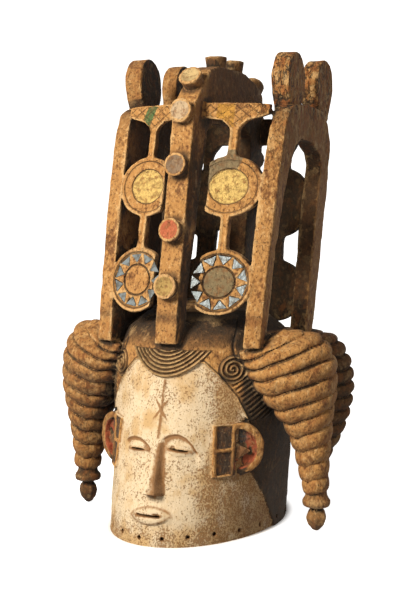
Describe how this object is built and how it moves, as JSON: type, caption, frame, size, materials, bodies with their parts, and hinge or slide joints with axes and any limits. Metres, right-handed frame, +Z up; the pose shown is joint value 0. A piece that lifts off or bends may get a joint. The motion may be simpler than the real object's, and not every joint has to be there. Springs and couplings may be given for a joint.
{
  "type": "carved helmet mask",
  "caption": "Hollow carved wooden helmet mask with a pale face, four ribbed hair coils hanging at the corners, and a tall openwork crest with discs, knobs and paddle finials.",
  "frame": {"origin": "in the plane of the rim, under the middle of the whole mask", "axes": "+Z up from the rim to the crest, the face looks along -Y, and +X is the mask's own left"},
  "size_m": [0.3632, 0.3354, 0.575],
  "materials": {
    "carved_wood": "hand carved, worn ochre and brown paint, white kaolin on the face",
    "mirror_glass": "aged mirror glass, set in shallow pockets"
  },
  "bodies": {
    "root": {"carved_mask": "carved_wood", "mirror_left_1": "mirror_glass", "mirror_left_2": "mirror_glass", "mirror_left_3": "mirror_glass", "mirror_left_4": "mirror_glass", "mirror_left_5": "mirror_glass", "mirror_left_6": "mirror_glass", "mirror_left_7": "mirror_glass", "mirror_left_8": "mirror_glass", "mirror_left_9": "mirror_glass", "mirror_left_10": "mirror_glass", "mirror_left_11": "mirror_glass", "mirror_right_1": "mirror_glass", "mirror_right_2": "mirror_glass", "mirror_right_3": "mirror_glass", "mirror_right_4": "mirror_glass", "mirror_right_5": "mirror_glass", "mirror_right_6": "mirror_glass", "mirror_right_7": "mirror_glass", "mirror_right_8": "mirror_glass", "mirror_right_9": "mirror_glass", "mirror_right_10": "mirror_glass", "mirror_right_11": "mirror_glass"}
  },
  "joints": []
}
